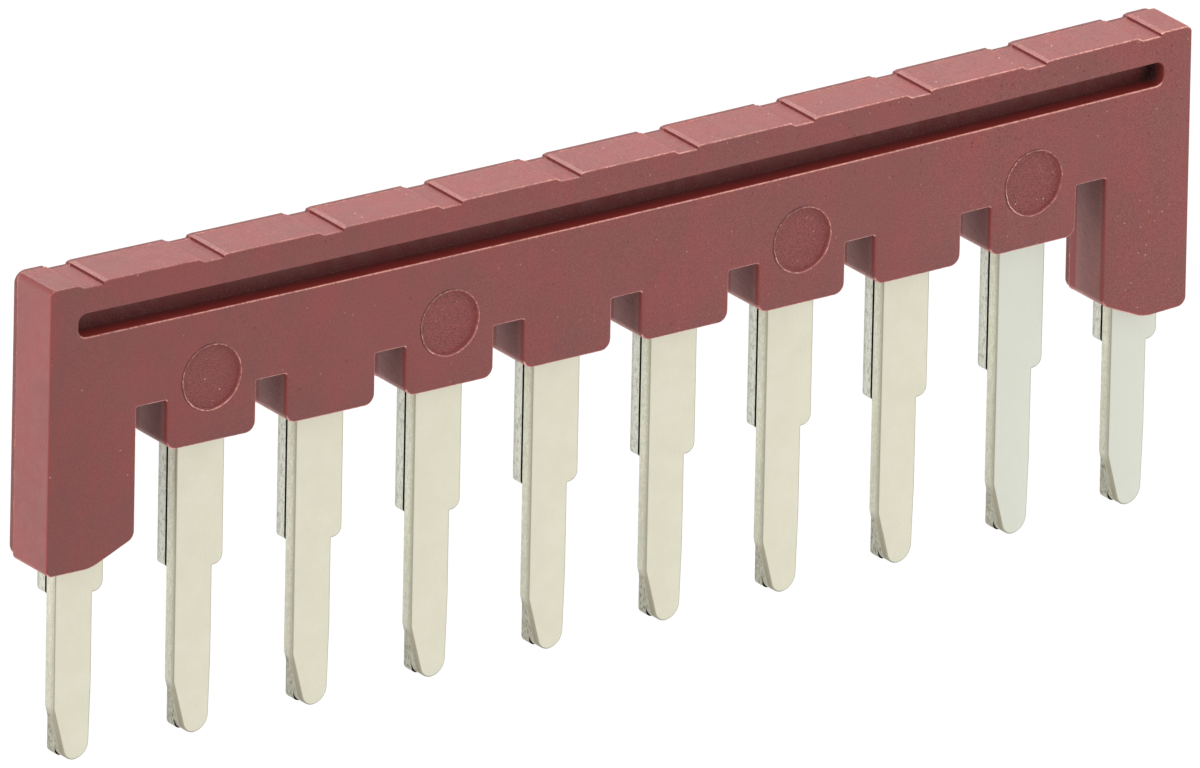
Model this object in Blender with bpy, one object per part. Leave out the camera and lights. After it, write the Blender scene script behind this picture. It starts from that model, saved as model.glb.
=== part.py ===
"""Plug-in jumper bar for rail-mounted terminal blocks, ten poles in one row.

Two identical combs, stamped from tinned copper strip, lie back to back with one
of them turned round. A plastic housing is moulded over their rails, so only the
legs come out, each from the underside of its own tooth.

All sizes are in metres. X runs along the row of poles, Y from the front face to
the back, and Z up. The origin is in the middle of the row, between the combs,
level with the underside of the teeth.
"""
import math

import bmesh
import bpy
from mathutils import Matrix

# The row
POLES = 10
PITCH = 0.0062

# The stamped combs
SHEET = 0.00066           # thickness of the strip
SEAM = 0.0001             # gap between the backs of the two combs
RAIL_HEIGHT = 0.00262     # the strip that joins the legs, hidden in the housing
ROOT_RADIUS = 0.0003      # inner corners between a leg and the rail
LEG_WIDTH = 0.00244
SHOULDER_DROP = 0.00627   # underside of the teeth to the shoulder of a leg
SHOULDER_STEP = 0.00052   # what a leg loses on one side below its shoulder
SHOULDER_RADIUS = 0.00046
TIP_DROP = 0.01392        # underside of the teeth to the tips
TAPER_RISE = 0.0023       # height of the slanted flank above the tip
TIP_WIDTH = 0.0012        # what the flank leaves of one sheet at its tip
FLANK_RADIUS = 0.0006     # tip corner below the slanted flank
TIP_RADIUS = 0.00072      # tip corner on the straight side
PUNCH_EDGE = 0.00005      # rounding that the punch leaves on every edge

# The moulded housing, as walls round the metal
METAL_GAP = 0.00004       # clearance all round the metal
FACE_WALL = 0.00075       # plastic in front of the combs and behind them
SIDE_WALL = 0.00108       # plastic on each side of a leg
END_WALL = 0.00098        # plastic outside the first leg and the last
CEILING_WALL = 0.00067    # plastic under the rail, above the slots
RAIL_COVER = 0.00045      # plastic between the groove and the rail
TOOTH_DROP = 0.00226      # slot ceiling to the underside of the teeth
TOOTH_RADIUS = 0.00042
SLOT_RADIUS = 0.0001
FOOT_DROP = 0.00467       # how far the two end legs reach below the teeth
FOOT_FLAT = 0.0023        # level part under an end leg, from its outer side
FOOT_RISE = 0.001         # how far the rest slopes up to the inner side
FOOT_BLEND = 0.0016
END_RADIUS = 0.0003       # outer corners, in front of the mould's parting line

# The lifting groove in the front face
GROOVE_DROP = 0.00125     # below the top
GROOVE_HEIGHT = 0.00115
GROOVE_DEPTH = 0.001
GROOVE_END = 0.00145      # housing end to groove end
GROOVE_RADIUS = 0.00042

# The marking fields on top, parted by a sunken band over each pole
BAND_FLOOR = 0.00092
BAND_RAMP = 0.00018
BAND_DEPTH = 0.00016

# The back of the mould: a thin rim with rounder corners
RIM_DEPTH = 0.00042
RIM_INSET = 0.00004
RIM_RADIUS = 0.0006

# Round marks that the ejector pins left on the front
EJECTOR_POLES = (2, 4, 7, 9)
EJECTOR_RADIUS = 0.0015
EJECTOR_DROP = 0.0056     # below the top
EJECTOR_DEPTH = 0.00006
EJECTOR_SIDES = 48

HOUSING_EDGE = 0.00007    # rounding along the front and back outlines
ARC_STEP = math.radians(18)

# Worked out from the sizes above
STACK = 2 * SHEET + SEAM
DEPTH = STACK + 2 * (METAL_GAP + FACE_WALL)
TOOTH_WIDTH = LEG_WIDTH + 2 * (METAL_GAP + SIDE_WALL)
LENGTH = (POLES - 1) * PITCH + LEG_WIDTH + 2 * (METAL_GAP + END_WALL)
TAPER_SET = LEG_WIDTH - SHOULDER_STEP - TIP_WIDTH
CEILING = TOOTH_DROP
RAIL_BOTTOM = CEILING + CEILING_WALL + METAL_GAP
RAIL_TOP = RAIL_BOTTOM + RAIL_HEIGHT
GROOVE_BOTTOM = RAIL_TOP + METAL_GAP + RAIL_COVER
TOP = GROOVE_BOTTOM + GROOVE_HEIGHT + GROOVE_DROP
FRONT = -DEPTH / 2
BACK = DEPTH / 2
PARTING = BACK - RIM_DEPTH


def pole_x(pole):
    """Middle of a pole, which are numbered from 1 at the left end."""
    return (pole - (POLES + 1) / 2) * PITCH


def rounded(corners):
    """Points of an outline given as (x, z, radius) corners, with each corner as an arc.

    Two arcs that would run past each other on one side share it instead.
    """
    turns, sides, taken = [], [], []
    for i, (x, z, radius) in enumerate(corners):
        before, after = corners[i - 1], corners[(i + 1) % len(corners)]
        angle_in = math.atan2(before[1] - z, before[0] - x)
        angle_out = math.atan2(after[1] - z, after[0] - x)
        opening = (angle_out - angle_in) % (2 * math.pi)
        half = min(opening, 2 * math.pi - opening) / 2
        turns.append((angle_in, opening, half))
        sides.append(math.hypot(after[0] - x, after[1] - z))
        taken.append(radius / math.tan(half))

    points = []
    for i, (x, z, radius) in enumerate(corners):
        angle_in, opening, half = turns[i]
        sweep = math.pi - opening
        steps = math.ceil(abs(sweep) / ARC_STEP)
        if radius == 0 or steps < 2:
            points.append((x, z))
            continue
        room_before = sides[i - 1] / (taken[i - 1] + taken[i])
        room_after = sides[i] / (taken[i] + taken[(i + 1) % len(corners)])
        radius *= min(1, room_before, room_after)
        # the arc's centre lies on the line that halves the corner
        middle = angle_in + opening / 2 + (0 if opening < math.pi else math.pi)
        reach = radius / math.sin(half)
        centre = (x + reach * math.cos(middle), z + reach * math.sin(middle))
        start = middle + math.pi + sweep / 2
        for k in range(steps + 1):
            a = start - sweep * k / steps
            points.append((centre[0] + radius * math.cos(a), centre[1] + radius * math.sin(a)))
    return points


def comb_corners():
    """Outline of the front comb: its legs keep their left side all the way down."""
    half = LEG_WIDTH / 2
    corners = []
    for pole in range(1, POLES + 1):
        left, right = pole_x(pole) - half, pole_x(pole) + half
        if pole > 1:
            corners.append((left, RAIL_BOTTOM, ROOT_RADIUS))
        corners += [
            (left, -TIP_DROP + TAPER_RISE, 0),
            (left + TAPER_SET, -TIP_DROP, FLANK_RADIUS),
            (right - SHOULDER_STEP, -TIP_DROP, TIP_RADIUS),
            (right - SHOULDER_STEP, -SHOULDER_DROP, 0),
            (right, -SHOULDER_DROP, SHOULDER_RADIUS),
        ]
        if pole < POLES:
            corners.append((right, RAIL_BOTTOM, ROOT_RADIUS))
    end = pole_x(POLES) + half
    return corners + [(end, RAIL_TOP, 0), (-end, RAIL_TOP, 0)]


def cavity_corners():
    """Outline of the space for both combs, open below every leg."""
    half = LEG_WIDTH / 2 + METAL_GAP
    below = -(FOOT_DROP + TOOTH_DROP)
    root = max(ROOT_RADIUS - METAL_GAP, 0)
    corners = []
    for pole in range(1, POLES + 1):
        left, right = pole_x(pole) - half, pole_x(pole) + half
        if pole > 1:
            corners.append((left, RAIL_BOTTOM - METAL_GAP, root))
        corners += [(left, below, 0), (right, below, 0)]
        if pole < POLES:
            corners.append((right, RAIL_BOTTOM - METAL_GAP, root))
    end = pole_x(POLES) + half
    return corners + [(end, RAIL_TOP + METAL_GAP, 0), (-end, RAIL_TOP + METAL_GAP, 0)]


def housing_corners(inset, end_radius, tooth_radius):
    """Outline of the housing: end legs, teeth, slots, and the sunken bands on top."""
    half = TOOTH_WIDTH / 2 - inset
    end = LENGTH / 2 - inset
    foot, under, ceiling = inset - FOOT_DROP, inset, CEILING + inset
    top = TOP - inset
    flat = end - FOOT_FLAT
    knee = foot + FOOT_RISE
    corners = [(-end, foot, end_radius), (-flat, foot, FOOT_BLEND)]
    corners += [(pole_x(1) + half, knee, tooth_radius), (pole_x(1) + half, ceiling, SLOT_RADIUS)]
    for pole in range(2, POLES):
        left, right = pole_x(pole) - half, pole_x(pole) + half
        corners += [
            (left, ceiling, SLOT_RADIUS),
            (left, under, tooth_radius),
            (right, under, tooth_radius),
            (right, ceiling, SLOT_RADIUS),
        ]
    corners += [(pole_x(POLES) - half, ceiling, SLOT_RADIUS), (pole_x(POLES) - half, knee, tooth_radius)]
    corners += [(flat, foot, FOOT_BLEND), (end, foot, end_radius), (end, top, end_radius)]
    for pole in range(POLES, 0, -1):
        x = pole_x(pole)
        corners += [
            (x + BAND_FLOOR / 2 + BAND_RAMP, top, 0),
            (x + BAND_FLOOR / 2, top - BAND_DEPTH, 0),
            (x - BAND_FLOOR / 2, top - BAND_DEPTH, 0),
            (x - BAND_FLOOR / 2 - BAND_RAMP, top, 0),
        ]
    return corners + [(-end, top, end_radius)]


def groove_corners():
    """Outline of the lifting groove, a long slot with rounded ends."""
    end = LENGTH / 2 - GROOVE_END
    bottom, top = GROOVE_BOTTOM, GROOVE_BOTTOM + GROOVE_HEIGHT
    return [(x, z, GROOVE_RADIUS) for x, z in ((-end, bottom), (end, bottom), (end, top), (-end, top))]


def new_collection(name):
    collection = bpy.data.collections.new(name)
    bpy.context.scene.collection.children.link(collection)
    return collection


def new_material(name, colour, roughness, metallic):
    material = bpy.data.materials.new(name)
    material.use_nodes = True
    shader = material.node_tree.nodes["Principled BSDF"]
    shader.inputs["Base Color"].default_value = (*colour, 1)
    shader.inputs["Roughness"].default_value = roughness
    shader.inputs["Metallic"].default_value = metallic
    material.diffuse_color = (*colour, 1)
    return material


def slab(name, collection, corners, front, back):
    """A flat piece: the outline as a filled 2D curve, extruded from front to back."""
    curve = bpy.data.curves.new(name, "CURVE")
    curve.dimensions = "2D"
    curve.fill_mode = "BOTH"
    curve.extrude = (back - front) / 2
    spline = curve.splines.new("POLY")
    points = rounded(corners)
    spline.points.add(len(points) - 1)
    for point, (x, z) in zip(spline.points, points):
        point.co = (x, z, 0, 1)
    spline.use_cyclic_u = True
    flat = bpy.data.objects.new(name + "_outline", curve)
    flat.location.y = (front + back) / 2
    flat.rotation_euler.x = math.pi / 2
    collection.objects.link(flat)
    bpy.context.view_layer.update()

    graph = bpy.context.evaluated_depsgraph_get()
    mesh = bpy.data.meshes.new_from_object(flat.evaluated_get(graph))
    mesh.transform(flat.matrix_world)
    bpy.data.objects.remove(flat)
    bpy.data.curves.remove(curve)
    mesh.name = name
    made = bmesh.new()
    made.from_mesh(mesh)
    for vert in made.verts:
        # exactly in one of the two planes, without what the turn rounds off
        vert.co.y = front if vert.co.y < (front + back) / 2 else back
    bmesh.ops.remove_doubles(made, verts=made.verts, dist=1e-7)
    # one polygon for each flat side, because the fill has triangles without area
    fill = [face for face in made.faces if len({vert.co.y for vert in face.verts}) == 1]
    bmesh.ops.delete(made, geom=fill, context="FACES")
    bmesh.ops.holes_fill(made, edges=made.edges)
    bmesh.ops.recalc_face_normals(made, faces=made.faces)
    made.to_mesh(mesh)
    made.free()
    piece = bpy.data.objects.new(name, mesh)
    collection.objects.link(piece)
    return piece


def round_rim(piece, planes, width, segments=1):
    """Rounds the outline's edges that lie in the given planes of constant y."""
    made = bmesh.new()
    made.from_mesh(piece.data)
    rim = [
        edge for edge in made.edges
        if any(all(abs(vert.co.y - y) < 1e-6 for vert in edge.verts) for y in planes)
    ]
    bmesh.ops.bevel(made, geom=rim, offset=width, segments=segments, profile=0.5, affect="EDGES")
    made.to_mesh(piece.data)
    made.free()


def cut_columns(piece):
    """Cuts the faces across in the middle of every pole and halfway between two poles.

    The slots all end on one line, and triangles drawn between them would have no area.
    """
    made = bmesh.new()
    made.from_mesh(piece.data)
    for step in range(2 * POLES - 1):
        everything = made.verts[:] + made.edges[:] + made.faces[:]
        x = pole_x(1 + step / 2)
        bmesh.ops.bisect_plane(made, geom=everything, plane_co=(x, 0, 0), plane_no=(1, 0, 0))
    made.to_mesh(piece.data)
    made.free()


def hide_cutter(piece):
    piece.hide_render = True
    piece.display_type = "WIRE"
    return piece


def add_boolean(piece, cutter, operation):
    modifier = piece.modifiers.new(cutter.name, "BOOLEAN")
    modifier.operation = operation
    modifier.solver = "EXACT"
    modifier.object = cutter


def ejector_mark(pole, collection):
    """A short round cutter that leaves one ejector pin's mark in the front face."""
    mesh = bpy.data.meshes.new("ejector_cutter_%d" % pole)
    made = bmesh.new()
    bmesh.ops.create_cone(
        made, cap_ends=True, segments=EJECTOR_SIDES, radius1=EJECTOR_RADIUS,
        radius2=EJECTOR_RADIUS, depth=2 * EJECTOR_DEPTH, matrix=Matrix.Rotation(math.pi / 2, 4, "X"),
    )
    made.to_mesh(mesh)
    made.free()
    cutter = bpy.data.objects.new(mesh.name, mesh)
    cutter.location = (pole_x(pole), FRONT, TOP - EJECTOR_DROP)
    collection.objects.link(cutter)
    return hide_cutter(cutter)


def build_combs(collection):
    """Both combs share one mesh. The rear one is the front one turned half round."""
    tin = new_material("tinned_copper", (0.72, 0.70, 0.60), 0.42, 0.9)
    front = slab("front_comb", collection, comb_corners(), -SEAM / 2 - SHEET, -SEAM / 2)
    round_rim(front, (-SEAM / 2 - SHEET, -SEAM / 2), PUNCH_EDGE)
    cut_columns(front)
    front.data.materials.append(tin)
    rear = bpy.data.objects.new("rear_comb", front.data)
    rear.rotation_euler.z = math.pi
    collection.objects.link(rear)
    return front, rear


def build_housing(collection, cutters):
    """The front part of the moulding, with the rim joined behind it, then all that is cut away."""
    red = new_material("red_plastic", (0.26, 0.085, 0.08), 0.55, 0.0)
    housing = slab("housing", collection, housing_corners(0, END_RADIUS, TOOTH_RADIUS), FRONT, PARTING)
    round_rim(housing, (FRONT,), HOUSING_EDGE, segments=2)
    cut_columns(housing)
    housing.data.materials.append(red)
    rim_start = PARTING - RIM_DEPTH
    rim_corners = housing_corners(RIM_INSET, RIM_RADIUS, RIM_RADIUS)
    rim = slab("rim", cutters, rim_corners, rim_start, BACK)
    round_rim(rim, (BACK,), HOUSING_EDGE, segments=2)
    cut_columns(rim)
    add_boolean(housing, hide_cutter(rim), "UNION")
    groove = slab("groove_cutter", cutters, groove_corners(), FRONT - GROOVE_DEPTH, FRONT + GROOVE_DEPTH)
    cavity_half = STACK / 2 + METAL_GAP
    cavity = slab("cavity_cutter", cutters, cavity_corners(), -cavity_half, cavity_half)
    cut_columns(cavity)
    for cutter in (groove, cavity):
        add_boolean(housing, hide_cutter(cutter), "DIFFERENCE")
    for pole in EJECTOR_POLES:
        add_boolean(housing, ejector_mark(pole, cutters), "DIFFERENCE")
    return housing


def main():
    for obj in list(bpy.data.objects):
        bpy.data.objects.remove(obj)
    parts = new_collection("jumper_bar")
    cutters = new_collection("cutters")
    build_combs(parts)
    build_housing(parts, cutters)


main()
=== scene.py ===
"""A ten-pole plug-in jumper bar, put together as it is made: two stamped combs, then the moulding.

Sizes are in millimetres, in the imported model's own frame, until a mesh is written.
"""
import math

import bmesh
import bpy
import numpy as np
from mathutils import Matrix, Vector, geometry


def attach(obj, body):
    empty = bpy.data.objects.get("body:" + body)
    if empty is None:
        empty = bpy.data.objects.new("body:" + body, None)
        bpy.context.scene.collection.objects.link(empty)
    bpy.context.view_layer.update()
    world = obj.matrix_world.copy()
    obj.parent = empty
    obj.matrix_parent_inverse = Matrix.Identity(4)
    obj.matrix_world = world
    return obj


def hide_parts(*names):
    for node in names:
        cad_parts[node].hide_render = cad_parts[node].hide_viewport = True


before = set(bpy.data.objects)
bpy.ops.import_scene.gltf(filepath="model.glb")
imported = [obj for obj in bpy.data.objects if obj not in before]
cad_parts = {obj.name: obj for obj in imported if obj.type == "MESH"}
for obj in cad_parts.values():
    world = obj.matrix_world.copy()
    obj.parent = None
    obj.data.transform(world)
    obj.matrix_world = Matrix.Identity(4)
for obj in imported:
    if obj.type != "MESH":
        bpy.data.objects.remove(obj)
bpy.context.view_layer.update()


# The camera stands well back at the front left and looks down on the bar through
# a long lens, so the row of legs hardly converges.
view_turn, view_rise, view_roll = math.radians(-35.06), math.radians(21.71), math.radians(1.17)
view_distance = 1464
aimed_at = Vector((0.125, 0, -2.82))
beside_aim = (0.293, -0.246)
pixels_per_mm = 22.979
photo_width, sensor_width = 1200, 36

backward = Vector((
    math.sin(view_turn) * math.cos(view_rise),
    -math.cos(view_turn) * math.cos(view_rise),
    math.sin(view_rise),
))
level = Vector((math.cos(view_turn), math.sin(view_turn), 0))
upward = backward.cross(level)
stand = aimed_at + backward * view_distance - level * beside_aim[0] - upward * beside_aim[1]
across = level * math.cos(view_roll) + upward * math.sin(view_roll)
above = upward * math.cos(view_roll) - level * math.sin(view_roll)

camera = bpy.data.objects.new("camera", bpy.data.cameras.new("camera"))
camera.data.sensor_width = sensor_width
camera.data.lens = pixels_per_mm * view_distance * sensor_width / photo_width
camera.matrix_world = Matrix((
    (across.x, above.x, backward.x, stand.x / 1000),
    (across.y, above.y, backward.y, stand.y / 1000),
    (across.z, above.z, backward.z, stand.z / 1000),
    (0, 0, 0, 1),
))
bpy.context.scene.collection.objects.link(camera)
bpy.context.scene.camera = camera
bpy.context.scene.view_settings.view_transform = "Standard"


# The studio: a floor of white card, three soft lamps above and one at each side. The
# card is white to the camera and in reflections, and still takes the bar's shadow.
floor_drop, floor_size = 60, 4000
card_glow = 0.75
ambient_light = 0.05
lamps = (
    # name, place, size, watts
    ("overhead_lamp", (0, 0, 700), 500, 2.9),
    ("back_lamp", (0, 500, 500), 400, 2.4),
    ("front_lamp", (0, -500, 500), 400, 1.1),
    ("left_lamp", (-700, 0, 150), 500, 4.3),
    ("right_lamp", (700, -100, 200), 500, 3.1),
)


def fill(tree, socket, value):
    """Links a socket, or sets it where value is a plain number or colour."""
    if isinstance(value, bpy.types.NodeSocket):
        tree.links.new(value, socket)
    else:
        socket.default_value = value


def add_node(tree, kind, settings=(), **sockets):
    """A shader node with its settings and its sockets filled; a socket's spaces are underscores."""
    node = tree.nodes.new("ShaderNode" + kind)
    for name, value in dict(settings).items():
        setattr(node, name, value)
    for name, value in sockets.items():
        fill(tree, node.inputs[name.replace("_", " ")], value)
    return node


def maths(tree, operation, first, second):
    """One sum, product or comparison of two values."""
    node = add_node(tree, "Math", {"operation": operation})
    fill(tree, node.inputs[0], first)
    fill(tree, node.inputs[1], second)
    return node.outputs[0]


def between(tree, value, low, high, at_low=0.0, at_high=1.0):
    """The value's place between low and high, held to the range from at_low to at_high."""
    node = add_node(tree, "MapRange", Value=value, From_Min=low, From_Max=high, To_Min=at_low, To_Max=at_high)
    return node.outputs[0]


def seen_directly(tree):
    """1 for what the camera, a gloss or clear plastic sees, 0 for the light that falls on things."""
    path = add_node(tree, "LightPath").outputs
    camera_or_gloss = maths(tree, "MAXIMUM", path["Is Camera Ray"], path["Is Glossy Ray"])
    return maths(tree, "MAXIMUM", camera_or_gloss, path["Is Transmission Ray"])


world = bpy.data.worlds.new("studio")
world.use_nodes = True
tree = world.node_tree
background = tree.nodes["Background"].inputs
background["Color"].default_value = (1, 1, 1, 1)
fill(tree, background["Strength"], between(tree, seen_directly(tree), 0, 1, ambient_light, 1.0))
bpy.context.scene.world = world

card = bpy.data.materials.new("white_card")
card.use_nodes = True
tree = card.node_tree
tree.nodes.remove(tree.nodes["Principled BSDF"])
paper = add_node(tree, "BsdfDiffuse", Color=(0.9, 0.9, 0.9, 1)).outputs[0]
glow = add_node(tree, "Emission", Color=(1, 1, 1, 1), Strength=1.0).outputs[0]
face = add_node(tree, "MixShader", Fac=maths(tree, "MULTIPLY", seen_directly(tree), card_glow))
fill(tree, face.inputs[1], paper)
fill(tree, face.inputs[2], glow)
fill(tree, tree.nodes["Material Output"].inputs["Surface"], face.outputs[0])

half_floor = floor_size / 2000
floor_mesh = bpy.data.meshes.new("studio_floor")
floor_mesh.from_pydata(
    [(x * half_floor, y * half_floor, -floor_drop / 1000) for x, y in ((-1, -1), (1, -1), (1, 1), (-1, 1))],
    [], [(0, 1, 2, 3)],
)
floor_mesh.materials.append(card)
studio_floor = bpy.data.objects.new("studio_floor", floor_mesh)
bpy.context.scene.collection.objects.link(studio_floor)

for name, place, size, watts in lamps:
    lamp = bpy.data.lights.new(name, "AREA")
    lamp.size = size / 1000
    lamp.energy = watts
    stand_in = bpy.data.objects.new(name, lamp)
    stand_in.location = Vector(place) / 1000
    stand_in.rotation_euler = (-Vector(place)).to_track_quat("-Z", "Y").to_euler()
    bpy.context.scene.collection.objects.link(stand_in)


# Two combs of tinned copper alloy, punched from strip. Each leg has a shoulder on one
# side and a slanted flank at its tip. The rear comb is turned half round, so every pole
# shows two sheets with a narrow seam; its corners came out sharper than the front one's.
poles, pitch = 10, 6.2
sheet, seam = 0.66, 0.1
rail_bottom, rail_height, rail_radius = 2.97, 2.62, 0.1
leg_width, root_radius = 2.5, 0.3
shoulder_drop, step_radius = 6.27, 0.04
tip_drop, tip_left, lean_rise, lean_radius = 13.92, 0.67, 3.6, 1.0
taper_rise, taper_radius, flank_radius, flank_slant = 2.57, 0.15, 0.6, 0.4
die_roll, burr = 0.075, 0.03
copper_fades = (0.28, 0.42)
seam_face_insets = (0.15, 0.25)
bow_forward, bow_down = 0.065, 0.093

pole_x = (np.arange(poles) - (poles - 1) / 2) * pitch


def carried_path(corners, inset=0.0, arc=6, spacing=0.0, plan=None):
    """A closed path through (x, z, radius) corners, drawn inwards by inset, with arcs at the corners.

    Every corner moves along the line that halves it, until both its sides lie inset further
    in. Its arc starts where the incoming side touches the circle and turns through the
    corner's angle in equal steps. An outer corner's radius shrinks by the inset and an inner
    corner's grows. Where spacing is given, points are added along the sides at about that
    distance, by the same plan for every inset, so that paths can be joined row by row.
    """
    corners = np.asarray(corners, float)
    place, radius = corners[:, :2], corners[:, 2]
    coming = place - np.roll(place, 1, axis=0)
    coming /= np.linalg.norm(coming, axis=1, keepdims=True)
    going = np.roll(coming, -1, axis=0)
    inward_0 = np.stack([-coming[:, 1], coming[:, 0]], axis=1)
    inward_1 = np.stack([-going[:, 1], going[:, 0]], axis=1)
    turn_cosine = (inward_0 * inward_1).sum(axis=1, keepdims=True)
    place = place + inset * (inward_0 + inward_1) / (1 + turn_cosine)
    turn = np.arctan2(coming[:, 0] * going[:, 1] - coming[:, 1] * going[:, 0], turn_cosine[:, 0])
    outer = np.sign(turn)
    radius = np.maximum(radius - inset * outer, 0.004)
    cut_back = radius * np.tan(np.abs(turn) / 2)
    spoke = -inward_0 * (radius * outer)[:, None]
    centre = place - coming * cut_back[:, None] - spoke
    angle = turn[:, None] * np.linspace(0, 1, arc + 1)
    cosine, sine = np.cos(angle), np.sin(angle)
    arcs = centre[:, None] + np.stack(
        [spoke[:, :1] * cosine - spoke[:, 1:] * sine, spoke[:, :1] * sine + spoke[:, 1:] * cosine], axis=2
    )
    if plan is None:
        run = np.linalg.norm(np.roll(arcs[:, 0], -1, axis=0) - arcs[:, -1], axis=1)
        plan = np.ceil(run / spacing).astype(int) if spacing else np.ones(len(corners), int)
    side = np.repeat(np.arange(len(corners)), plan - 1)
    count = np.arange(len(side)) - np.repeat(np.cumsum(plan - 1) - (plan - 1), plan - 1) + 1
    part = (count / plan[side])[:, None]
    on_sides = arcs[side, -1] * (1 - part) + np.roll(arcs[:, 0], -1, axis=0)[side] * part
    order = np.argsort(np.concatenate([
        (np.arange(len(corners))[:, None] + np.linspace(0, 0.3, arc + 1)).ravel(),
        side + 0.4 + 0.5 * part[:, 0],
    ]), kind="stable")
    return np.concatenate([arcs.reshape(-1, 2), on_sides])[order], plan


def joined_rows(rows):
    """The points of closed rows, and the faces between the rows: each takes two neighbours from both."""
    lines, points = rows.shape[:2]
    index = np.arange(lines * points).reshape(lines, points)
    after = np.roll(index, -1, axis=1)
    quads = np.stack([index[:-1], after[:-1], after[1:], index[1:]], axis=-1).reshape(-1, 4)
    return rows.reshape(-1, 3), quads


def flat_side(y, outline, *openings):
    """Triangles that fill an outline in the plane at y, leaving the openings free."""
    loops = [outline, *openings]
    points = np.concatenate(loops)
    starts = np.cumsum([0] + [len(loop) for loop in loops])
    faces = [list(range(a, b)) for a, b in zip(starts[:-1], starts[1:])]
    cells = geometry.delaunay_2d_cdt([Vector(p) for p in points.tolist()], [], faces, 1, 1e-6)
    corners, triangles, origin = np.array(cells[0]), np.array(cells[2]), cells[5]
    kept = np.array([list(face) == [0] for face in origin])
    return np.insert(corners, 1, y, axis=1), triangles[kept]


def bowed(points):
    """The points moved as the bar has warped: forwards and down in the middle, back and up at the ends.

    The shift follows a parabola along x, and is one bow's height at the middle and at the ends.
    """
    swing = 2 * (points[:, 0] / (pole_x[-1] + pitch / 2)) ** 2 - 1
    return points + swing[:, None] * np.array([0, bow_forward, bow_down])


def write_piece(name, material, node, surfaces):
    """One closed mesh out of (points, faces, marks) surfaces, welded where they meet.

    marks maps attribute names to one value for each point; what a surface leaves out is 0.
    """
    points = bowed(np.concatenate([surface[0] for surface in surfaces]))
    offset = np.cumsum([0] + [len(surface[0]) for surface in surfaces[:-1]])
    faces = [face for start, surface in zip(offset, surfaces) for face in (surface[1] + start).tolist()]
    mesh = bpy.data.meshes.new(name)
    mesh.from_pydata((points / 1000).tolist(), [], faces)
    for mark in sorted({mark for surface in surfaces for mark in surface[2]}):
        values = np.concatenate([np.broadcast_to(s[2].get(mark, 0.0), len(s[0])) for s in surfaces])
        mesh.attributes.new(mark, "FLOAT", "POINT").data.foreach_set("value", values.astype(np.float32))
    welded = bmesh.new()
    welded.from_mesh(mesh)
    bmesh.ops.remove_doubles(welded, verts=welded.verts, dist=2e-7)
    bmesh.ops.recalc_face_normals(welded, faces=welded.faces)
    welded.to_mesh(mesh)
    welded.free()
    mesh.shade_smooth()
    mesh.set_sharp_from_angle(angle=math.radians(40))
    mesh.materials.append(material)
    piece = bpy.data.objects.new(name, mesh)
    bpy.context.scene.collection.objects.link(piece)
    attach(piece, "root")
    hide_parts(node)
    return piece


def new_finish(name, *marks):
    """A material with its nodes, its shader, the object coordinates and the named marks on its mesh."""
    material = bpy.data.materials.new(name)
    material.use_nodes = True
    tree = material.node_tree
    where = add_node(tree, "TexCoord").outputs["Object"]
    found = [add_node(tree, "Attribute", {"attribute_name": mark}).outputs["Fac"] for mark in marks]
    return material, tree, tree.nodes["Principled BSDF"].inputs, where, *found


def noise(tree, where, size, detail=2.0, stretch=None, turned=(0, 0, 0)):
    """Soft random patches, about size millimetres wide, drawn out by stretch along turned axes."""
    if stretch:
        laid = add_node(
            tree, "Mapping", {"vector_type": "TEXTURE"}, Vector=where, Rotation=turned, Scale=stretch)
        where = laid.outputs[0]
    return add_node(tree, "TexNoise", Vector=where, Scale=1000 / size, Detail=detail, Roughness=0.6).outputs[0]


def blend(tree, share, first, second, mode="MIX"):
    """Two colours mixed, or one multiplied by the other, by the given share."""
    node = add_node(tree, "Mix", {"data_type": "RGBA", "blend_type": mode})
    for index, value in ((0, share), (6, first), (7, second)):
        fill(tree, node.inputs[index], (*value, 1) if isinstance(value, tuple) else value)
    return node.outputs[2]


tinned, tree, shader, where, cut_side, rolled_edge, slanted, worn_tip, seam_face = new_finish(
    "tinned_strip", "cut_side", "rolled_edge", "slanted_flank", "worn_tip", "seam_face"
)
place = add_node(tree, "SeparateXYZ", Vector=where).outputs
cloud = noise(tree, where, 1.1, 3.0)
drag = noise(tree, where, 0.25, 3.0, stretch=(1, 1, 6))
grain = noise(tree, where, 0.11)
fleck = noise(tree, where, 0.10, 3.0, stretch=(1, 1, 2))
sandy = noise(tree, where, 0.055, 2.0)

# the tin plate on the flat faces, a little cooler on the last legs
plate = blend(tree, between(tree, cloud, 0.35, 0.65), (0.715, 0.69, 0.555), (0.74, 0.715, 0.585))
plate = blend(tree, between(tree, place["X"], 0.017, 0.020, 0.0, 0.7), plate, (0.675, 0.705, 0.635))

# the sheared sides, mottled on the rear comb and duller towards the tips
sheared = blend(tree, between(tree, fleck, 0.35, 0.65), (0.57, 0.56, 0.435), (0.71, 0.70, 0.575))
sheared = blend(tree, between(tree, drag, 0.5, 0.7, 0.0, 0.25), sheared, (0.45, 0.44, 0.35))
sheared = blend(tree, 1.0, sheared, between(tree, place["Z"], -0.0095, -0.0060, 0.88, 1.0), "MULTIPLY")
mottled = blend(tree, between(tree, fleck, 0.48, 0.64), (0.635, 0.645, 0.58), (0.31, 0.315, 0.27))
sheared = blend(tree, between(tree, place["Y"], -0.00003, 0.00003, 0.0, 0.75), sheared, mottled)
sheared = blend(tree, 1.0, sheared, between(tree, sandy, 0.35, 0.65, 0.88, 1.10), "MULTIPLY")

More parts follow.
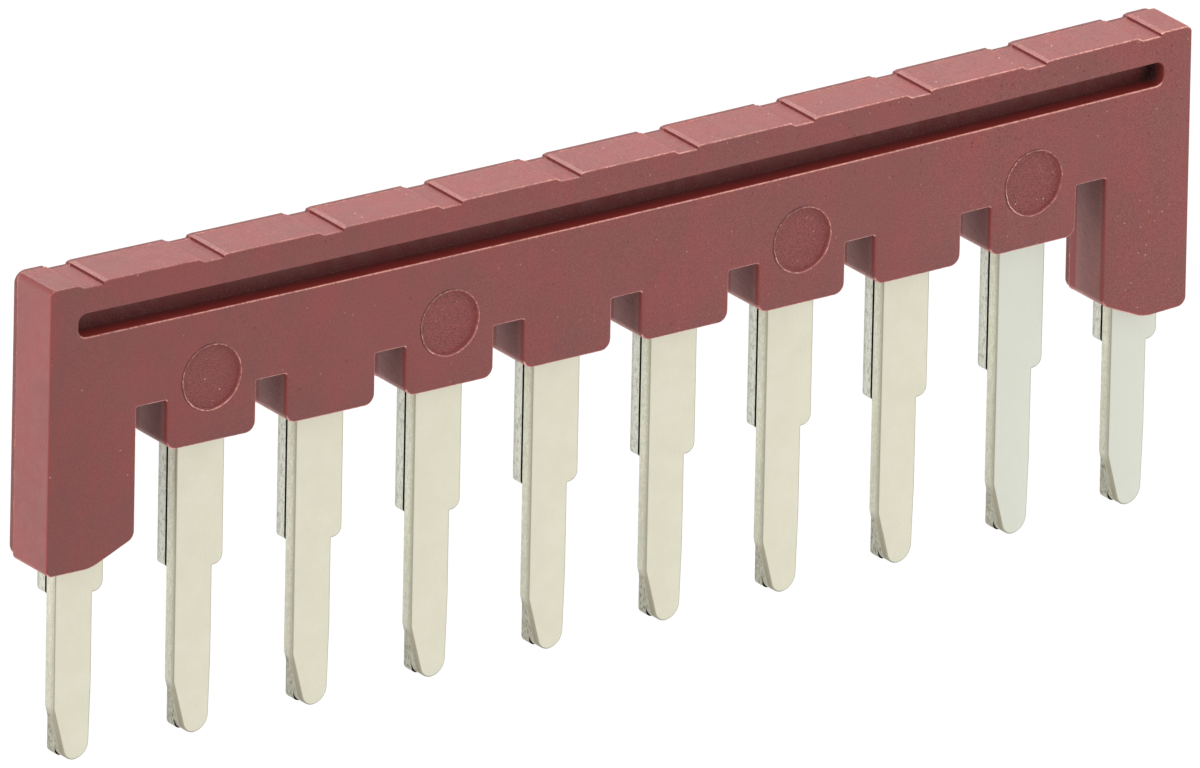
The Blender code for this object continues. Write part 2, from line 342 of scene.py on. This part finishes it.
# bare copper on the slanted flanks, and worn tips
copper = blend(tree, between(tree, grain, 0.3, 0.7), (0.32, 0.29, 0.20), (0.48, 0.44, 0.32))
copper = blend(tree, between(tree, place["Z"], -0.0140, -0.0116, 0.75, 0.0), copper, (0.20, 0.17, 0.10))
worn = blend(tree, between(tree, fleck, 0.4, 0.62), (0.44, 0.43, 0.35), (0.26, 0.25, 0.185))
worn = blend(tree, between(tree, fleck, 0.62, 0.68), worn, (0.06, 0.06, 0.04))
metal = blend(tree, cut_side, plate, blend(tree, worn_tip, blend(tree, slanted, sheared, copper), worn))

# painted shade: the rolled edges darkened, and the inside of the seam painted near black with a ragged border
metal = blend(tree, maths(tree, "MULTIPLY", rolled_edge, 0.9), metal, (0.30, 0.28, 0.21))
border = maths(tree, "ADD", seam_face, between(tree, sandy, 0.3, 0.7, -0.25, 0.25))
dark = between(tree, border, 0.40, 0.62)
metal = blend(tree, dark, metal, (0.008, 0.007, 0.002))
fill(tree, shader["Base Color"], metal)
fill(tree, shader["Roughness"], maths(
    tree, "ADD", between(tree, grain, 0.3, 0.7, 0.42, 0.52), maths(tree, "MULTIPLY", dark, 0.4)))
fill(tree, shader["Metallic"], 0.9)
height = maths(tree, "ADD", grain, maths(tree, "MULTIPLY", fleck, 1.5))
fill(tree, shader["Normal"], add_node(tree, "Bump", Strength=0.35, Distance=0.00002, Height=height).outputs[0])

half_leg = leg_width / 2
rail_top = rail_bottom + rail_height
rail_end = pole_x[-1] + half_leg

# the punch rolls the edge on the outer face and leaves a sharp one at the seam
quarter = np.linspace(0, math.pi / 2, 5)
outer_face = -seam / 2 - sheet
comb_profile = np.concatenate([
    np.stack([die_roll * (1 - np.sin(quarter)), outer_face + die_roll * (1 - np.cos(quarter))], axis=1),
    [(0, outer_face + deep) for deep in copper_fades],
    np.stack([burr * (1 - np.cos(quarter)), -seam / 2 - burr * (1 - np.sin(quarter))], axis=1),
    [(burr + inset, -seam / 2) for inset in seam_face_insets],
])
# how dark the painted shade is on the last rows, from the burr to the face at the seam
seam_darkness = np.array([0.5, 0.9, 1, 1, 1, 0])


def rise(values, start, end):
    """0 up to start, 1 from end on and a straight line between them; end may be the lower one."""
    return np.clip((values - start) / (end - start), 0, 1)


def comb_surfaces(trim, step, lean, shoulder_radius, tip_radius):
    """A comb's wall and its two flat sides, for the front comb; the rear one is turned half round.

    Each leg is trimmed on its straight side. The other side steps in below the shoulder and
    leans in by a hair near the tip. The wall follows the outline of the rail and the legs
    once for every (inset, y) of the profile. Its marks grow or fade in straight lines with
    the depth below the outer face, and those of the tip also with the height.
    """
    one_leg = np.array([
        (trim - half_leg, rail_bottom, root_radius),
        (trim - half_leg, taper_rise - tip_drop, taper_radius),
        (-half_leg + tip_left, -tip_drop, flank_radius),
        (half_leg - step - lean, -tip_drop, tip_radius),
        (half_leg - step, lean_rise - tip_drop, lean_radius),
        (half_leg - step, -shoulder_drop, step_radius),
        (half_leg, -shoulder_drop, shoulder_radius),
        (half_leg, rail_bottom, root_radius),
    ])
    legs = np.concatenate([one_leg + (x, 0, 0) for x in pole_x])[1:-1]
    corners = np.concatenate([legs, [(rail_end, rail_top, rail_radius), (-rail_end, rail_top, rail_radius)]])
    rows = []
    plan = None
    for inset, y in comb_profile:
        path, plan = carried_path(corners, inset, arc=8, spacing=0.4, plan=plan)
        rows.append(np.insert(path, 1, y, axis=1))
    rows = np.array(rows)
    depth_in = np.broadcast_to(comb_profile[:, 1, None] - outer_face, rows.shape[:2])
    side = np.interp(depth_in, (0.01, 0.06), (0, 1))
    side[-len(seam_face_insets):] = 0
    seam_side = np.zeros(depth_in.shape)
    seam_side[-len(seam_darkness):] = seam_darkness[:, None]
    beside_pole = (rows[..., 0] - pole_x[0] + pitch / 2) % pitch - pitch / 2
    below_taper = rise(taper_rise - tip_drop - flank_slant * depth_in - rows[..., 2], 0, 0.1)
    flank = rise(beside_pole, 0.2, -0.2) * np.interp(depth_in, copper_fades, (1, 0))
    wall = (*joined_rows(rows), {
        "rolled_edge": np.interp(depth_in, (0, 0.004, 0.04, 0.12), (0, 1, 0.8, 0)).ravel(),
        "cut_side": side.ravel(), "seam_face": seam_side.ravel(),
        "slanted_flank": (below_taper * flank).ravel(), "worn_tip": (below_taper * (1 - flank)).ravel(),
    })
    sides = [(*flat_side(y, row[:, [0, 2]]), {}) for y, row in ((outer_face, rows[0]), (-seam / 2, rows[-1]))]
    return [wall, *sides]


front_comb = comb_surfaces(trim=0.0, step=0.55, lean=0.1, shoulder_radius=0.46, tip_radius=0.76)
rear_comb = comb_surfaces(trim=0.07, step=0.62, lean=0.0, shoulder_radius=0.25, tip_radius=0.3)
half_round = np.array([-1, -1, 1])
write_piece("front_comb_of_legs", tinned, "front_comb", front_comb)
write_piece("rear_comb_of_legs", tinned, "rear_comb",
            [(points * half_round, faces, marks) for points, faces, marks in rear_comb])


# The housing, one moulding of matt red plastic round the rails of both combs. The
# front half of the mould shapes nearly all of it, with the groove and four ejector
# pins. The other half leaves a thin rim at the back, and flash where the two meet.
depth, top = 3.0, 8.48
length, tooth_width, tooth_drop = 60.28, 4.6, 0.1
slot_ceiling, slot_radius, tooth_radius = 2.26, 0.1, 0.5
foot_drop, foot_flat, foot_rise, foot_blend = 4.80, 2.3, 1.0, 1.9
end_radius, end_lean = 0.3, 0.06
right_corner_lift, right_corner_blunting = 0.08, 0.15
band_floor, band_ramp, band_depth = 0.92, 0.28, 0.16
band_step, band_step_run = 0.11, 0.05
soft_radius, crisp_radius = 0.05, 0.02
front_edge, back_edge = 0.07, 0.13
rim_depth, rim_inset, rim_radius = 0.42, 0.04, 0.6
flash_height, flash_waves = 0.019, (0.7, 1.9, 4.3, 9.1, 17.0)
groove_low, groove_high, groove_depth, groove_end, groove_radius = 6.0, 7.1, 1.0, 1.51, 0.42
lip, fillet = 0.07, 0.06
ejector_poles, ejector_radius, ejector_height = (1, 3, 6, 8), 1.5, 2.88

half_length = length / 2


def housing_corners(end, tooth):
    """The (x, z, radius) corners of the housing's outline, with the given radii at its ends and teeth.

    They run from the left foot along the teeth to the right foot, and back over the fields.
    """
    half = tooth_width / 2
    tooth_corners = np.array([
        (-half, slot_ceiling, slot_radius), (-half, -tooth_drop, tooth),
        (half, -tooth_drop, tooth), (half, slot_ceiling, slot_radius),
    ])
    foot = np.array([
        (-half_length, -foot_drop, end), (foot_flat - half_length, -foot_drop, foot_blend),
        (pole_x[0] + half, foot_rise - foot_drop, tooth), (pole_x[0] + half, slot_ceiling, slot_radius),
    ])
    right_foot = foot[::-1] * (-1, 1, 1)
    right_foot[-1] += (0, right_corner_lift, right_corner_blunting)
    band = np.array([
        (band_floor / 2 + band_ramp, top, soft_radius),
        (band_floor / 2 + band_step_run, top - band_depth + band_step, crisp_radius),
        (band_floor / 2, top - band_depth, crisp_radius),
        (-band_floor / 2, top - band_depth, soft_radius),
        (-band_floor / 2 - band_ramp, top, soft_radius),
    ])
    return np.concatenate(
        [foot] + [tooth_corners + (x, 0, 0) for x in pole_x[1:-1]]
        + [right_foot, [(half_length - end_lean, top, end)]]
        + [band + (x, 0, 0) for x in pole_x[::-1]] + [[(end_lean - half_length, top, end)]]
    )


front, back = -depth / 2, depth / 2
parting = back - rim_depth
rounding = np.linspace(0, math.pi / 2, 6)
# a slot's wall is scraped in full between the two inner depths, and not past the outer two
scraped_band = (front + 0.18, front + 0.28, parting - 0.54, parting - 0.46)
# one row for each line of the profile: inset, y, end radius, tooth radius, flash;
# those at -0.7 and 0.2 let the shade in the slots fade slowly
profile = np.concatenate([
    [(front_edge * (1 - math.sin(a)), front + front_edge * (1 - math.cos(a)), end_radius, tooth_radius, 0)
     for a in rounding],
    [(0, y, end_radius, tooth_radius, 0)
     for y in (*scraped_band[:2], -0.7, 0.2, *scraped_band[2:], parting - 0.1, parting - 0.05)],
    [(0, parting - 0.02, end_radius, tooth_radius, 0.7), (0, parting, end_radius, tooth_radius, 1)],
    [(rim_inset, y, rim_radius, rim_radius, 0) for y in (parting + 0.03, parting + 0.1)],
    [(rim_inset + back_edge * (1 - math.cos(a)), back - back_edge * (1 - math.sin(a)),
      rim_radius, rim_radius, 0) for a in rounding],
])
wall_rows = []
plan = None
for inset, y, end, tooth, _ in profile:
    path, plan = carried_path(housing_corners(end, tooth), inset, arc=8, spacing=0.12, plan=plan)
    wall_rows.append(np.insert(path, 1, y, axis=1))
wall_rows = np.array(wall_rows)

# the flash comes and goes along the parting line, in uneven ragged lengths
chance = np.random.default_rng(11)
outline = wall_rows[0]
along = np.cumsum(np.linalg.norm(outline - np.roll(outline, 1, axis=0), axis=1))
waves = sum(np.sin(along * f + chance.uniform(0, 7)) for f in flash_waves)
flash = np.clip(waves * 0.5 + chance.uniform(-0.4, 0.6, len(along)), 0, 2.2) * flash_height
ahead = np.roll(outline, -1, axis=0) - np.roll(outline, 1, axis=0)
outward = np.stack([ahead[:, 2], np.zeros(len(along)), -ahead[:, 0]], axis=1)
outward /= np.linalg.norm(outward, axis=1, keepdims=True)
wall_rows += profile[:, 4, None, None] * flash[None, :, None] * outward[None]

# marks for the finish, as each part of the wall faces and lies from front to back
wall_x, wall_z = outline[:, 0], outline[:, 2]
facing_x, facing_z = outward[:, 0], outward[:, 2]
wall_y = profile[:, 1, None]
off_the_ends = np.abs(wall_x) < half_length - 1
sideways = rise(np.abs(facing_x), 0.6, 0.9)
downward = rise(-facing_z, 0.2, 0.5)
upward_facing = rise(facing_z, 0.5, 0.8)
in_slot = sideways * (wall_z < slot_ceiling) * off_the_ends
# painted shade on the steps up to the fields, and a painted shade line along the left end's top corner
field_step = rise(-facing_x, 0.4, 0.6) * (wall_z > top - 0.3) * off_the_ends
field_step += 0.8 * rise(np.abs(facing_x + 0.6), 0.4, 0) * (facing_z > 0) * (wall_z > top - 0.4)
field_rim = rise(np.abs(facing_x), 0.06, 0.16) * rise(np.abs(facing_x), 0.6, 0.4)
field_rim *= (wall_z > top - front_edge - 0.05) * off_the_ends
tooth_corner = downward * (facing_z > -0.85)
front_line = np.interp(wall_y, (front, front + 0.01, front + 0.05, front + front_edge), (0, 1, 1, 0))
# painted light in the wall's marks: the pale edges are painted highlights and reflections with some wear,
# strongest on edges facing down, growing to the right on top edges, and fainter along the fields' rims and the
# teeth's lower corners; deep red and shaded are painted shade on edges facing left, in the slots, on the right
# end's edge and round the rim at the back
wall_marks = {
    "pale_edge": front_line * (
        1.3 * downward + (0.65 + 0.4 * wall_x / half_length) * upward_facing
        + 0.75 * in_slot * (facing_x > 0))
    + 0.15 * field_rim * np.interp(wall_y, (front, front + 0.02, parting, back), (0, 1, 1, 0))
    + 0.35 * tooth_corner * np.interp(
        wall_y, (front + front_edge, scraped_band[0], parting, back), (0, 1, 1, 0)),
    "deep_red": front_line * sideways * (facing_x < 0) + in_slot * np.interp(
        wall_y, (front + 0.05, front + front_edge, *scraped_band, parting - 0.1, parting),
        (0, 1, 1, 0, 0, 1, 1, 0)),
    "scraped": in_slot * np.interp(wall_y, scraped_band, (0, 1, 1, 0)),
    "shaded": in_slot * np.interp(wall_y, (front, front + 0.07, front + 0.3, 0.3), (0, 0.3, 0.35, 0))
    + 0.25 * front_line * sideways * (wall_x > half_length - 1)
    + np.interp(wall_y, (parting, parting + 0.03, back - 0.1, back - 0.02, back), (0, 0.35, 0.45, 0.7, 0)),
    "field_step": field_step * np.interp(wall_y, (front, front + 0.02, parting, parting + 0.05), (0, 1, 1, 0)),
    "flash": (0.3 + 0.7 * rise(flash, 0, 0.025)) * np.where(np.abs(wall_x) > half_length - 0.2, 0.6, 1.0)
    * np.interp(wall_y, (parting - 0.05, parting - 0.02, parting + 0.02, parting + 0.06), (0, 1, 1, 0)),
}
wall = (*joined_rows(wall_rows), {mark: values.ravel() for mark, values in wall_marks.items()})

# the lifting groove: rounded lip, straight walls, small fillet at its back
groove_half = half_length - groove_end
groove_foot = front + groove_depth
shade_start, near_foot = front + 0.4, groove_foot - 0.1
groove_corners = [
    (side * groove_half, z, groove_radius)
    for side, z in ((-1, groove_low), (1, groove_low), (1, groove_high), (-1, groove_high))
]
groove_profile = np.array(
    [(-lip * (1 - math.sin(a)), front + lip * (1 - math.cos(a))) for a in rounding]
    + [(0, shade_start), (0, front + 0.65)]
    + [(fillet * (1 - math.cos(a)), groove_foot - fillet * (1 - math.sin(a))) for a in rounding]
)
groove_rows = []
plan = None
for inset, y in groove_profile:
    path, plan = carried_path(groove_corners, inset, arc=10, spacing=0.5, plan=plan)
    groove_rows.append(np.insert(path, 1, y, axis=1))
groove_rows = np.array(groove_rows)
groove_x, groove_z = groove_rows[..., 0], groove_rows[..., 2]
groove_y = np.broadcast_to(groove_profile[:, 1, None], groove_x.shape)


def groove_shade(x, z):
    """How dark the groove's back is at x and z: two straight rises, added up.

    One goes from 0 at 43 % of the way down to 0.72 at the foot. The other goes from 0 to 0.7
    over half a millimetre, and is full from 0.2 mm before the groove's right end.
    """
    share_down = (groove_high - z) / (groove_high - groove_low)
    return np.clip(1.26 * share_down - 0.54, 0, 1) + 0.7 * rise(x, groove_half - 0.7, groove_half - 0.2)


# the groove's lip is painted with a highlight that grows to the right; inside, deep red painted shade stands
# for the red light its walls throw on one another, and painted shade deepens downwards and towards the right
# end
low_lip = rise(groove_z, groove_low + 0.16, groove_low + 0.04)
groove_marks = {
    "pale_edge": np.interp(groove_y, (front, front + 0.01, front + 0.05, front + lip), (0, 1, 1, 0)) * low_lip
    * (0.85 + 0.95 * (groove_x + groove_half) / (2 * groove_half)),
    "deep_red": np.interp(groove_y, (front + 0.05, front + lip, near_foot, groove_foot), (0, 1, 1, 0.8)),
    "shaded": np.interp(groove_y, (shade_start, near_foot, groove_foot), (0, 0.85, 1.0))
    * groove_shade(groove_x, groove_z)
    + np.interp(groove_y, (front + lip, shade_start), (0, 0.5))
    * rise(groove_x, groove_half - 0.4, groove_half - 0.1),
}
groove_wall = (*joined_rows(groove_rows), {mark: values.ravel() for mark, values in groove_marks.items()})
back_points, back_faces = flat_side(groove_foot, groove_rows[-1][:, [0, 2]])
lower_half = np.clip((groove_high - back_points[:, 2]) / (groove_high - groove_low) * 2 - 1, 0, 0.8)
# its back: painted shade, deep red painted shade in its lower half, and the scraped streaks' lighter colour as
# painted light
groove_back = (back_points, back_faces, {
    "shaded": groove_shade(back_points[:, 0], back_points[:, 2]), "deep_red": lower_half, "scraped": 0.75,
})

# what each ejector pin left: a ring of burr round a shallow, rough disc
ring_steps = 96
pin_profile = np.array([
    # share of the pin's radius, depth
    (1.08, 0.0), (1.05, 0.0), (1.03, 0.0), (1.015, -0.010), (1.0, -0.018), (0.985, -0.006),
    (0.975, 0.05), (0.96, 0.08), (0.7, 0.085), (0.35, 0.087), (0.05, 0.087),
])
share, sunk = pin_profile[:, :1], pin_profile[:, 1:]
around = np.linspace(0, 2 * math.pi, ring_steps, endpoint=False)
out_of_round = 1 + 0.004 * np.sin(3 * around + 1) + 0.003 * np.sin(7 * around)
out_of_round += chance.uniform(-0.005, 0.005, ring_steps)
pin_marks = []
pin_openings = []
for pole in ejector_poles:
    spread = ejector_radius * share * np.where(share > 0.9, out_of_round, 1)
    spread[0] = ejector_radius * share[0]
    raised = chance.uniform(0.1, 1.4, ring_steps) + 0.35 * np.sin(around + chance.uniform(2.5, 4.5))
    rows = np.stack([
        pole_x[pole] + spread * np.cos(around),
        front + sunk * np.where(sunk < 0, raised, 1),
        ejector_height + spread * np.sin(around),
    ], axis=2)
    # the burr ring is painted pale as a highlight, a painted shadow lies outside it at the upper left, and the
    # disc's sunk wall gets deep red painted shade
    disc = np.where(share < 0.97, 1.0, 0.0)
    ring = np.interp(share, (0.975, 0.985, 1.0, 1.015, 1.03), (0, 0.2, 1, 0.9, 0))
    ring = ring * np.clip(raised - 0.1, 0.1, 1.2)
    ring_shadow = np.interp(share, (1.015, 1.03, 1.05, 1.08), (0, 1, 0.8, 0))
    ring_shadow = ring_shadow * np.clip(1.6 * np.cos(around - 2.7), 0, 1)
    inner_wall = np.interp(share, (0.96, 0.975, 0.985, 1.0), (0, 0.8, 0.8, 0))
    marks = {"pin_disc": disc, "pale_edge": ring, "shaded": ring_shadow, "deep_red": inner_wall}
    pin_marks.append((*joined_rows(rows), {
        mark: np.broadcast_to(values, rows.shape[:2]).ravel() for mark, values in marks.items()
    }))
    pin_marks.append((rows[-1], np.arange(ring_steps)[None], {"pin_disc": np.ones(ring_steps)}))
    pin_openings.append(rows[0][:, [0, 2]])

front_side = (*flat_side(front, wall_rows[0][:, [0, 2]], groove_rows[0][:, [0, 2]], *pin_openings), {})
back_side = (*flat_side(back, wall_rows[-1][:, [0, 2]]), {})

moulded, tree, shader, where, pale_edge, deep_red, scraped, shaded, flash_line, stepped, pin_disc = new_finish(
    "moulded_red", "pale_edge", "deep_red", "scraped", "shaded", "flash", "field_step", "pin_disc"
)
place = add_node(tree, "SeparateXYZ", Vector=where).outputs
facing = add_node(tree, "SeparateXYZ", Vector=add_node(tree, "TexCoord").outputs["Normal"]).outputs
to_right = between(tree, place["X"], -0.030, 0.030)
smudge = noise(tree, where, 2.2, 4.0, stretch=(1, 1, 1.6))
patch = noise(tree, where, 0.8, 3.0)
cloud = noise(tree, where, 0.7, 4.0)
coarse = noise(tree, where, 0.13, 3.0)
grain = noise(tree, where, 0.12, 3.0)
fine = noise(tree, where, 0.055, 2.0)
finest = noise(tree, where, 0.035, 3.0)
coarse_and_fine = maths(tree, "ADD", coarse, fine)
red = blend(tree, between(tree, smudge, 0.35, 0.65), (0.216, 0.048, 0.042), (0.276, 0.044, 0.038))
red = blend(tree, between(tree, cloud, 0.3, 0.7, 0.0, 0.22), red, (0.20, 0.057, 0.052))
red = blend(tree, 1.0, red, between(tree, to_right, 0, 1, 0.93, 1.10), "MULTIPLY")
red = blend(tree, 1.0, red, between(tree, place["Z"], 0.0005, 0.0030, 0.95, 1.0), "MULTIPLY")

# a greyish painted sheen in patches on the ends and on the fields
field_face = between(tree, facing["Z"], 0.9, 0.98)
end_face = between(tree, maths(tree, "MULTIPLY", facing["X"], place["X"]), 0.0285, 0.0295)
fields_and_ends = maths(tree, "MAXIMUM", field_face, end_face)
painted_sheen = maths(tree, "MULTIPLY", fields_and_ends, between(tree, cloud, 0.35, 0.7, 0.08, 0.45))
red = blend(tree, painted_sheen, red, (0.26, 0.088, 0.079))

# fine grain all over, stronger to the right and on the fields
contrast = between(tree, to_right, 0.1, 0.9, 0.15, 0.20)
contrast = maths(tree, "MAXIMUM", contrast, maths(tree, "MULTIPLY", field_face, 0.36))
low, high = maths(tree, "SUBTRACT", 1.0, contrast), maths(tree, "ADD", 1.0, contrast)
red = blend(tree, 1.0, red, between(tree, maths(tree, "ADD", grain, fine), 0.75, 1.25, low, high), "MULTIPLY")

# pale dust, thicker to the right
dusty = maths(tree, "MULTIPLY", between(tree, fine, 0.46, 0.66), between(tree, to_right, 0.1, 0.9, 0.05, 0.25))
red = blend(tree, dusty, red, (0.36, 0.17, 0.155))

# the pins' discs are a shade deeper and rougher, most of all to the right
red = blend(tree, maths(tree, "MULTIPLY", pin_disc, 0.8), red, (0.222, 0.031, 0.028))
rough = between(tree, maths(tree, "ADD", fine, finest), 0.84, 1.16)
speckled = blend(tree, rough, (0.125, 0.014, 0.012), (0.395, 0.072, 0.064))
roughened = maths(tree, "MULTIPLY", pin_disc, between(tree, to_right, 0.15, 0.35, 0.4, 0.85))
red = blend(tree, roughened, red, speckled)

# bright specks, more of them to the right
speck = add_node(tree, "TexVoronoi", Vector=where, Scale=1000 / 0.4).outputs
chosen, brightness, _ = add_node(tree, "SeparateColor", Color=speck["Color"]).outputs
rare = maths(
    tree, "SUBTRACT", between(tree, to_right, 0, 1, 0.93, 0.62), maths(tree, "MULTIPLY", pin_disc, 0.15))
is_speck = maths(tree, "MULTIPLY", between(tree, speck["Distance"], 0.06, 0.12, 1.0, 0.0),
                 maths(tree, "GREATER_THAN", chosen, rare))
is_speck = maths(tree, "MULTIPLY", is_speck, between(tree, brightness, 0.2, 1.0, 0.25, 1.3))
red = blend(tree, is_speck, red, (0.80, 0.55, 0.50))

# pits that crowd round the right half of the groove
pit = add_node(tree, "TexVoronoi", Vector=where, Scale=1000 / 0.3).outputs
chosen = add_node(tree, "SeparateColor", Color=pit["Color"]).outputs[0]
above_groove = maths(tree, "ABSOLUTE", maths(tree, "SUBTRACT", place["Z"], 0.0066), 0.0)
crowd = maths(tree, "MULTIPLY", between(tree, above_groove, 0.0006, 0.0030, 1.0, 0.0),
              between(tree, to_right, 0.45, 1.0, 0.0, 1.0))
ragged = maths(tree, "ADD", pit["Distance"], between(tree, grain, 0.3, 0.7, -0.12, 0.12))
is_pit = maths(tree, "MULTIPLY", between(tree, ragged, 0.12, 0.24, 1.0, 0.0),
               maths(tree, "GREATER_THAN", chosen, between(tree, crowd, 0, 1, 0.985, 0.45)))
red = blend(tree, maths(tree, "MULTIPLY", is_pit, 0.6), red, (0.11, 0.009, 0.006))

# slanting drag marks on the sides of the slots, greyer and lighter than the rest; on the groove's back the
# same streaks are painted light
scratch = noise(tree, where, 0.065, 4.0, stretch=(1, 8, 1), turned=(math.radians(24), 0, 0))
streaked = blend(tree, between(tree, scratch, 0.33, 0.69), (0.205, 0.071, 0.064), (0.335, 0.113, 0.100))
red = blend(tree, scraped, red, streaked)
# deep red painted shade: along the slots' edges and ends, inside the groove, where red light is thrown back
# and forth, and on the pins' inner walls
red = blend(tree, deep_red, red, (0.235, 0.022, 0.017))

# painted shade, made gritty by noise: in the groove, in the slots, round the rim at the back and beside the
# pins' rings; darker painted shade on the steps between the fields
gritty_shade = maths(tree, "MULTIPLY", shaded, between(tree, coarse_and_fine, 0.75, 1.25, 1.2, 0.7))
painted_shade = blend(tree, between(tree, gritty_shade, 0, 1), (1.0, 1.0, 1.0), (0.16, 0.08, 0.07))
red = blend(tree, 1.0, red, painted_shade, "MULTIPLY")
step_shade = maths(tree, "MULTIPLY", stepped, between(tree, coarse, 0.3, 0.6, 0.6, 1.0))
red = blend(tree, step_shade, red, (0.13, 0.012, 0.010))

# painted highlights with some pale wear on the edges, a dotted line at its brightest, and the flash painted
# pale as a highlight
dotted = maths(tree, "MULTIPLY", between(tree, patch, 0.35, 0.6, 0.45, 1.05),
               between(tree, coarse_and_fine, 0.8, 1.2, 0.3, 1.35))
red = blend(tree, maths(tree, "MULTIPLY", pale_edge, dotted), red, (0.86, 0.40, 0.34))
flash_highlight = maths(tree, "MULTIPLY", flash_line, between(tree, coarse, 0.3, 0.6, 0.3, 1.0))
red = blend(tree, flash_highlight, red, (0.66, 0.26, 0.20))

# fine pale flecks, grit and painted glints, in the groove's painted shade and on the highlighted edges, which
# also lighten the groove
grit_and_glints = maths(tree, "MULTIPLY", maths(tree, "ADD", pale_edge, maths(tree, "MULTIPLY", shaded, 0.8)), 0.75)
red = blend(tree, maths(tree, "MULTIPLY", grit_and_glints, between(tree, fine, 0.60, 0.72)), red, (0.42, 0.26, 0.23))
fill(tree, shader["Base Color"], red)

# matt all over, duller still in the painted shade, and rough in the discs and along the drag marks
duller = maths(tree, "MAXIMUM", maths(tree, "MULTIPLY", shaded, 0.35), maths(tree, "MULTIPLY", stepped, 0.42))
fill(tree, shader["Roughness"], maths(tree, "ADD", between(tree, grain, 0.3, 0.7, 0.46, 0.58), duller))
fill(tree, shader["Specular IOR Level"], 0.65)
height = maths(tree, "ADD", grain, maths(tree, "MULTIPLY", maths(tree, "MULTIPLY", fine, pin_disc), 12.0))
height = maths(tree, "ADD", height, maths(tree, "MULTIPLY", maths(tree, "MULTIPLY", scratch, scraped), 2.5))
fill(tree, shader["Normal"], add_node(tree, "Bump", Strength=0.5, Distance=0.00002, Height=height).outputs[0])
write_piece("red_moulding", moulded, "housing",
            [wall, groove_wall, groove_back, front_side, back_side, *pin_marks])
